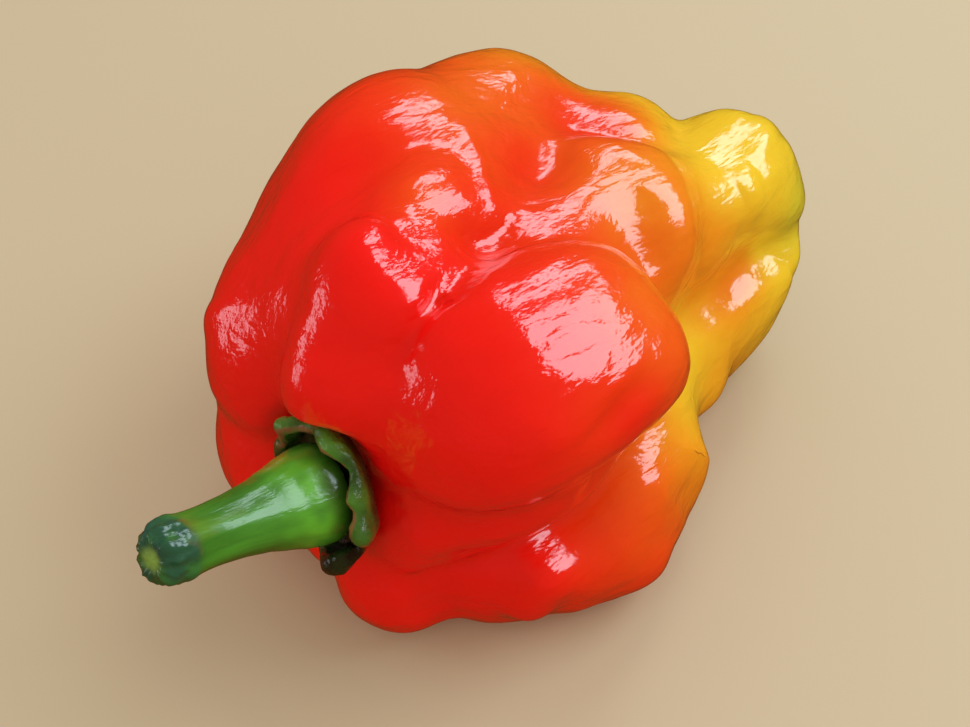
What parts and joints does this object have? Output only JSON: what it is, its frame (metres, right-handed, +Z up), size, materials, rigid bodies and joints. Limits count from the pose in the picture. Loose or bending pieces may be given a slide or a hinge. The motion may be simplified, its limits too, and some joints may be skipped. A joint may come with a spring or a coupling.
{
  "type": "habanero pepper",
  "caption": "Ripe folded fruit pod with a blunt tip, a ruffled green calyx and a short cut stem, lying on its side.",
  "frame": {"origin": "middle of the whole pepper's footprint, stem included, at the height of the surface it rests on", "axes": "+Z up as it lies, +X from the stem end towards the blunt tip, +Y to the left when looking along +X"},
  "size_m": [0.0666, 0.041, 0.0334],
  "materials": {
    "pod_skin": "glossy waxy fruit skin, red at the stem end, orange over the back, yellow at the tip",
    "calyx_green": "satin dark green, slightly rough",
    "stem_green": "smooth waxy green, darker at the cut end"
  },
  "bodies": {
    "root": {"pod": "pod_skin", "calyx": "calyx_green", "stem": "stem_green"}
  },
  "joints": []
}
